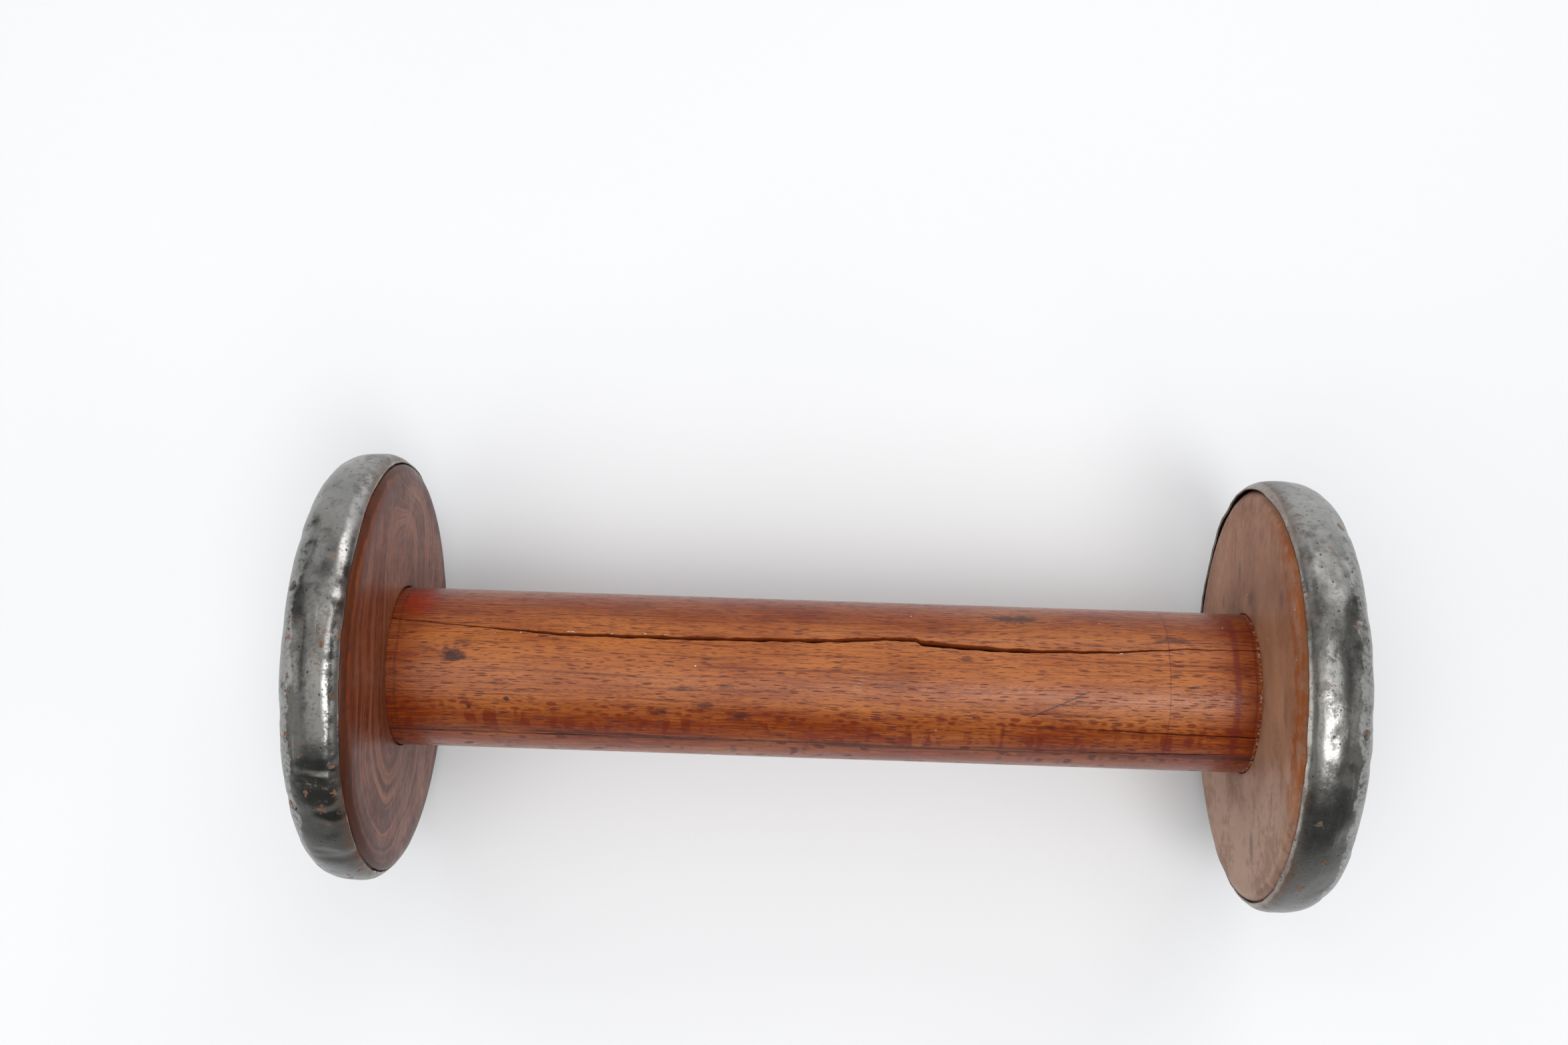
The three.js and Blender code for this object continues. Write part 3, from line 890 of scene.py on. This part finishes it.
# Dents: angle in the object's frame, u, half lengths round the rim and across it in mm, and depth in mm.
DENTS = {
    "left": (
        (14, 4.6, 2.2, 1.8, 0.55), (31, 13, 2.0, 6.0, 0.7), (27, 15.5, 7.0, 1.6, 0.5),
        (-31, 7, 1.6, 7.0, 0.6), (-35, 10, 1.3, 5.0, 0.45), (-33, 2.6, 2.6, 2.0, 0.6),
        (-43, 2.4, 4.0, 2.2, 0.8), (-63, 5, 1.6, 7.0, 0.7), (-26, 8, 3.0, 3.0, -0.3),
        (48, 5, 6.0, 2.0, 0.35), (39, 4.5, 5.0, 2.2, -0.35), (27, 4.8, 5.0, 2.0, -0.3),
        (20, 7, 4.0, 2.5, 0.3), (-38, 6, 3.0, 3.0, -0.35), (-50, 9, 4.0, 3.0, 0.4),
        (-33.5, 5, 0.9, 3.0, -0.35), (-41, 5, 1.0, 3.5, -0.4), (-47, 4.5, 1.0, 2.5, -0.35),
        (-56, 6, 3.0, 3.0, -0.3), (-32, 4, 1.2, 5.0, 0.45), (-44, 6, 1.3, 4.0, 0.5),
        (-60, 10, 1.3, 4.0, 0.4), (5, 15, 8.0, 1.5, 0.35), (-12, 16, 6.0, 1.5, 0.4),
        (-48, 14, 5.0, 2.5, 0.4),
    ),
    "right": (
        (46, 3, 2.5, 2.0, 0.45), (43, 16.1, 2.2, 1.8, 0.8), (17, 5.2, 3.0, 2.0, 0.5),
        (21, 8.9, 2.0, 1.6, 0.35), (28, 13, 6.0, 3.0, 0.55), (-20, 2.2, 2.2, 1.4, 0.6),
        (-23, 13, 2.0, 2.0, 0.5), (-10, 15.5, 3.0, 2.0, 0.7), (-4, 16.5, 2.2, 1.6, 0.5),
        (8, 4.7, 1.2, 0.6, 0.3), (12, 15.0, 5.0, 1.8, 0.5), (-43, 15.5, 3.0, 2.0, 0.6),
        (-60, 13, 5.0, 3.0, 0.4), (58, 12, 5.0, 3.0, 0.4), (-16, 7.5, 2.5, 1.6, 0.25),
        (-13, 10, 2.0, 1.5, 0.25),
    ),
}
FOLD_WRINKLES = 34
# How each band sits off the common outline, in mm: its lip, its end, and how proud its lip stands at the
# far side.
LIP_SHIFT = {"left": 0.35, "right": -0.35}
END_SHIFT = {"left": -0.15, "right": 0.3}
FAR_LIP = {"left": 0.4, "right": 1.3}
LIP_TURN = {"left": -1, "right": 1}


def band_relief(side, u, r, angle, points):
    """How far the band stands out from its turned shape, in mm. angle is in degrees, as on the right head."""
    seed = SIDES.index(side) * 7 + 20
    corner = smoothstep(11, 18, u)
    relief = (0.22 + 0.22 * corner) * wobble(points, 17, seed)
    relief += (0.1 + 0.12 * corner) * wobble(points, 7, seed + 1)
    relief += 0.05 * wobble(points, 3, seed + 2)
    # shallow hammer marks, flat-bottomed
    relief -= 0.22 * (0.35 + corner) * smoothstep(0.15, 0.5, wobble(points, 9, seed + 3))
    for dent_angle, dent_u, around, across, depth in DENTS[side]:
        centre = -dent_angle if side == "left" else dent_angle
        apart = np.radians((angle - centre + 180) % 360 - 180) * RIM_RADIUS
        reach = (apart / around) ** 2 + ((u - dent_u) / across) ** 2
        relief -= 1.35 * depth * np.exp(-reach) * (1 - 0.5 * np.exp(-4 * reach))
    for i in range(TACK_COUNT):
        tack = TACK_PHASE[side] + i * 360 / TACK_COUNT
        apart = np.radians((angle - tack + 180) % 360 - 180) * 60
        reach = (apart ** 2 + (u - TACK_U) ** 2 + (r - corner_at(TACK_U)[0]) ** 2) / 3.2 ** 2
        relief -= 0.55 * np.exp(-reach ** 2)
    # the wood beneath stops a dent from going deeper, and there is less room at the lip
    limit = 0.42 + 0.38 * smoothstep(3, 6.5, u)
    relief = np.where(relief < 0, -limit * np.tanh(-relief / limit), relief)
    # wrinkles where the sheet is gathered onto the end face
    fold = smoothstep(57, 49, r) * smoothstep(CROWN_U, BAND_END_U, u)
    wave = np.sin(np.radians(angle) * FOLD_WRINKLES + 2.2 * wobble(points, 30, seed + 5))
    return relief * (1 - 0.5 * fold) + fold * (0.16 * wave - 0.1)


def corner_at(u):
    """Radius of the band's rounded corner at u, and its normal's lean from +u towards +r, in radians."""
    across, down = BAND_END_U - CROWN_U, RIM_RADIUS - CORNER_RADIUS
    s = (u - CROWN_U) / across
    q = (1 - s ** CORNER_POWER) ** (1 / CORNER_POWER)
    lean = math.atan2(q ** (CORNER_POWER - 1) / down, s ** (CORNER_POWER - 1) / across)
    return CORNER_RADIUS + down * q, lean


def build_band(side, material):
    """Spun sheet steel, dented, with a slightly ragged lip and a wrinkled fold on the end face."""
    fold = sampled([(BAND_END_U, CORNER_RADIUS), (BAND_END_U, FOLD_RADIUS)], FOLD_STEP)
    outside = np.array([*rim_outline(0, BAND_STEP), *fold[1:]])
    tangent = np.gradient(outside, axis=0)
    tangent /= np.linalg.norm(tangent, axis=1)[:, None]
    normal = np.stack([-tangent[:, 1], tangent[:, 0]], -1)
    normal[normal @ (0.3, 1) < 0] *= -1
    angle = np.linspace(0, 360, BAND_COLUMNS, endpoint=False)
    u, r = outside[:, 0][:, None], outside[:, 1][:, None]
    rest = polar(u, r, np.radians(angle)[None, :])
    relief = band_relief(side, u, r, angle[None, :], rest)
    seed = SIDES.index(side) * 7 + 30
    order = np.arange(len(outside))[:, None]
    from_lip = order * BAND_STEP
    at_fold = smoothstep(6, 0, (len(outside) - 1 - order) * FOLD_STEP)
    rag = wobble(rest, 12, seed) + 0.5 * wobble(rest, 4, seed + 1)
    far_side = smoothstep(72, 50, np.abs((angle * LIP_TURN[side] - 115 + 180) % 360 - 180))[None, :]
    slip = 0.35 * smoothstep(5, 0, from_lip) * rag + LIP_SHIFT[side] * smoothstep(9, 2, from_lip)
    slip = slip - FAR_LIP[side] * smoothstep(7, 0, from_lip) * far_side
    slip = slip + END_SHIFT[side] * smoothstep(12, 18, from_lip)
    draw = 0.6 * at_fold * rag

    def layer(below):
        """The sheet's surface at a depth below its outside."""
        move = np.minimum(relief, 0.0 if below == 0 else 0.1) - below
        layer_u = u + normal[:, 0][:, None] * move + slip
        layer_r = r + normal[:, 1][:, None] * move - draw
        return polar(layer_u, layer_r, np.radians(angle)[None, :])

    edge = 0.12
    outer, inner = layer(0), layer(SHEET)
    lip_mid = (outer[0] + inner[0]) / 2 + (outer[0] - outer[1]) * edge
    fold_mid = (outer[-1] + inner[-1]) / 2 + (outer[-1] - outer[-2]) * edge
    points = np.array([lip_mid, *outer, fold_mid, *inner[::-1]])
    mesh = ring_mesh(f"{side}_band_sheet", to_head(points, side))
    finished(mesh, material, [f"{side}_rim_band"], sharp=50)


def build_tacks(side, material):
    """Cut tacks: a hand-struck head sunk in the sheet and a square tapering shank."""
    r, lean = corner_at(TACK_U)
    for i in range(TACK_COUNT):
        radial = spoke(TACK_PHASE[side], i, TACK_COUNT)
        outward = Vector((math.cos(lean), 0, 0)) + radial * math.sin(lean)
        across = radial.cross(Vector((1, 0, 0)))
        place = Matrix((outward, across, outward.cross(across))).transposed().to_4x4()
        place.translation = Vector((FACE + TACK_U, 0, 0)) + radial * r
        place = HEAD_TURN[side] @ place

        def struck(x, radius, turn):
            if x < -1.2:  # the shank is square
                return radius / max(abs(math.cos(turn)), abs(math.sin(turn))) * 0.8
            return radius * (1 + 0.07 * math.sin(3 * turn + i) + 0.04 * math.sin(5 * turn + 2 * i))

        profile = [(-7.2, 0), (-6.8, 0.25), (-1.4, 0.75), (-1.0, 1.0), (-0.95, 1.6), (-0.7, 1.78),
                   (-0.5, 1.7), (-0.35, 1.3), (-0.28, 0.7), (-0.26, 0)]
        mesh = lathe_mesh(f"{side}_tack_{i + 1}", profile, 24, place, struck)
        finished(mesh, material, [f"{side}_band_tack_{i + 1}"])


# ======== the spindle bushes ========

def build_bush(side, material):
    """A steel tube with an end plate, countersunk for three screws."""
    plate_back = WOOD_END_U - PLATE
    outline = [
        (BUSH_INNER_U, BORE_RADIUS + 0.4), (BUSH_INNER_U, TUBE_RADIUS - 0.3),
        (BUSH_INNER_U + 0.3, TUBE_RADIUS), (plate_back - 0.4, TUBE_RADIUS), (plate_back, TUBE_RADIUS + 0.4),
        (plate_back, PLATE_RADIUS), (WOOD_END_U - 0.35, PLATE_RADIUS),
        (WOOD_END_U - 0.08, PLATE_RADIUS - 0.12), (WOOD_END_U, PLATE_RADIUS - 0.5),
        *[(WOOD_END_U, v) for v in (16.9, 16, 15.1, 14.2, 13.3, 12.4, 11.7)],
        *[(WOOD_END_U - 0.7 + 0.7 * math.cos(t), BORE_RADIUS + 0.7 - 0.7 * math.sin(t))
          for t in (0, 0.5, 1.0, 1.5708)],
        (BUSH_INNER_U + 0.4, BORE_RADIUS), (BUSH_INNER_U, BORE_RADIUS + 0.4),
    ]
    section, points = turned(outline, BUSH_STEP, BUSH_COLUMNS)
    top = (section[:, 0] > WOOD_END_U - 0.5)[:, None]
    worn = np.abs(0.06 * wobble(points, 6, 41)) + 0.03 * np.abs(wobble(points, 2, 42))
    for i in range(SCREW_COUNT):
        _, y, z = spoke(SCREW_PHASE[side], i, SCREW_COUNT) * SCREW_CIRCLE
        away = np.hypot(points[..., 1] - y, points[..., 2] - z)
        worn = worn + 0.9 * smoothstep(SCREW_HEAD_RADIUS + 0.7, SCREW_HEAD_RADIUS - 0.5, away)
    points[..., 0] -= np.where(top, worn, 0)
    mesh = ring_mesh(f"{side}_bush_steel", to_head(points, side))
    finished(mesh, material, [f"{side}_spindle_bush"])


def build_screws(side, material):
    """Slotted wood screws, the slot cut as a groove through the grid of the head."""
    for i in range(SCREW_COUNT):
        radial = spoke(SCREW_PHASE[side], i, SCREW_COUNT)
        place = Matrix.Translation(Vector((FACE + WOOD_END_U, 0, 0)) + radial * SCREW_CIRCLE)
        place = HEAD_TURN[side] @ place @ Matrix.Rotation(0.6 + 1.9 * i, 4, "X")
        head = SCREW_HEAD_RADIUS
        profile = [(-13.8, 0), (-12.5, 0.5)]
        for turn in range(9):
            profile += [(-11.8 + turn, 1.0), (-11.3 + turn, 1.45)]
        profile += [(-1.4, 1.2), (-0.25, head - 0.05), (-0.1, head), (0, head - 0.12), (0.12, head * 0.7),
                    (0.2, head * 0.35), (0.2, 0)]
        mesh = lathe_mesh(f"{side}_screw_{i + 1}", profile, 32, place)
        piece = finished(mesh, material, [f"{side}_bush_screw_{i + 1}"])
        cut_slot(piece, place)


def cut_slot(piece, place):
    """Cuts the driver's slot across a screw's head."""
    bpy.ops.mesh.primitive_cube_add(size=1)
    cutter = bpy.context.object
    cutter.matrix_world = (Matrix.Scale(0.001, 4) @ place @ Matrix.Translation((0.1, 0, 0))
                           @ Matrix.Diagonal((1.9, 0.75, 8, 1)))
    slot = piece.modifiers.new("slot", "BOOLEAN")
    slot.object = cutter
    slot.solver = "EXACT"
    bpy.context.view_layer.update()
    cut = bpy.data.meshes.new_from_object(piece.evaluated_get(bpy.context.evaluated_depsgraph_get()))
    piece.modifiers.clear()
    old, piece.data = piece.data, cut
    bpy.data.meshes.remove(old)
    bpy.data.objects.remove(cutter)


# ======== the studio ========

TABLE_REACH = 4.0  # half its breadth in metres


def build_floor():
    floor = Shader("pale_table")
    tone = floor.noise(floor.point(floor.x / 400, floor.y / 400, floor.z), detail=2)
    floor.colour = floor.mix(tone, (0.76, 0.768, 0.782), (0.79, 0.798, 0.812))
    material = floor.finish(0.6)
    mesh = bpy.data.meshes.new("table")
    corners = [(-1, -1), (1, -1), (1, 1), (-1, 1)]
    mesh.from_pydata([(x * TABLE_REACH, y * TABLE_REACH, FLOOR_Z) for x, y in corners], [], [(0, 1, 2, 3)])
    mesh.materials.append(material)
    table = linked("table", mesh)


def softbox(name, towards, distance, width, height, brightness):
    """A soft rectangular light that faces the bobbin from a direction. brightness is that of its face."""
    data = bpy.data.lights.new(name, "AREA")
    data.shape = "RECTANGLE"
    data.size = width
    data.size_y = height
    data.energy = math.pi * width * height * brightness
    light = linked(name, data)
    light.location = Vector(towards).normalized() * distance
    light.rotation_euler = (-light.location).to_track_quat("-Z", "Y").to_euler()
    light.visible_camera = False


# Soft lights: direction, distance, width and height in metres, and brightness of the face.
LIGHTS = {
    "key": ((-0.04, -0.43, 0.88), 2.4, 2.5, 1.7, 2.15),
    "key_core": ((0.22, -0.3, 0.92), 2.4, 0.6, 0.9, 6.8),
    "ceiling": ((-0.08, 0.2, 0.98), 2.5, 2.8, 2.0, 1.4),
    "back_window": ((0.32, 0.74, 0.56), 2.5, 1.8, 1.1, 2.0),
    "back_wall": ((0.0, 0.95, 0.3), 3.0, 5.0, 2.0, 0.75),
    "back_left": ((-0.58, 0.58, 0.57), 2.6, 1.6, 1.3, 0.65),
    "right_wall": ((0.95, -0.2, 0.45), 2.8, 2.6, 1.8, 0.72),
    "left_wall": ((-0.95, -0.3, 0.48), 2.8, 2.8, 1.8, 1.1),
}


def build_studio():
    build_floor()
    for name, light in LIGHTS.items():
        softbox(name, *light)
    world = bpy.data.worlds.new("tent")
    world.use_nodes = True
    world.node_tree.nodes["Background"].inputs["Color"].default_value = (0.96, 0.98, 1.0, 1)
    world.node_tree.nodes["Background"].inputs["Strength"].default_value = 0.12
    bpy.context.scene.world = world
    bpy.context.scene.view_settings.view_transform = "Standard"


def build_camera():
    """Above the bobbin and a little in front, tilted 10 degrees from straight down."""
    data = bpy.data.cameras.new("camera")
    data.sensor_width = 36  # millimetres, as is the lens
    data.lens = 37.87
    camera = linked("camera", data)
    camera.location = (-0.0034, -0.0401, 0.4986)
    camera.rotation_euler = [math.radians(a) for a in (10.01, 0.75, 1.97)]
    bpy.context.scene.camera = camera


build_camera()
build_studio()
build_barrel()
bush_steel = worn_steel("bush_steel", (0.42, 0.41, 0.38), rust_share=0.2)
fastener_steel = worn_steel("fastener_steel", (0.2, 0.19, 0.17), rust_share=0.4)
for side in SIDES:
    build_inner_ply(side)
    build_outer_ply(side)
    build_band(side, band_steel(side))
    build_tacks(side, fastener_steel)
    build_bush(side, bush_steel)
    build_screws(side, fastener_steel)
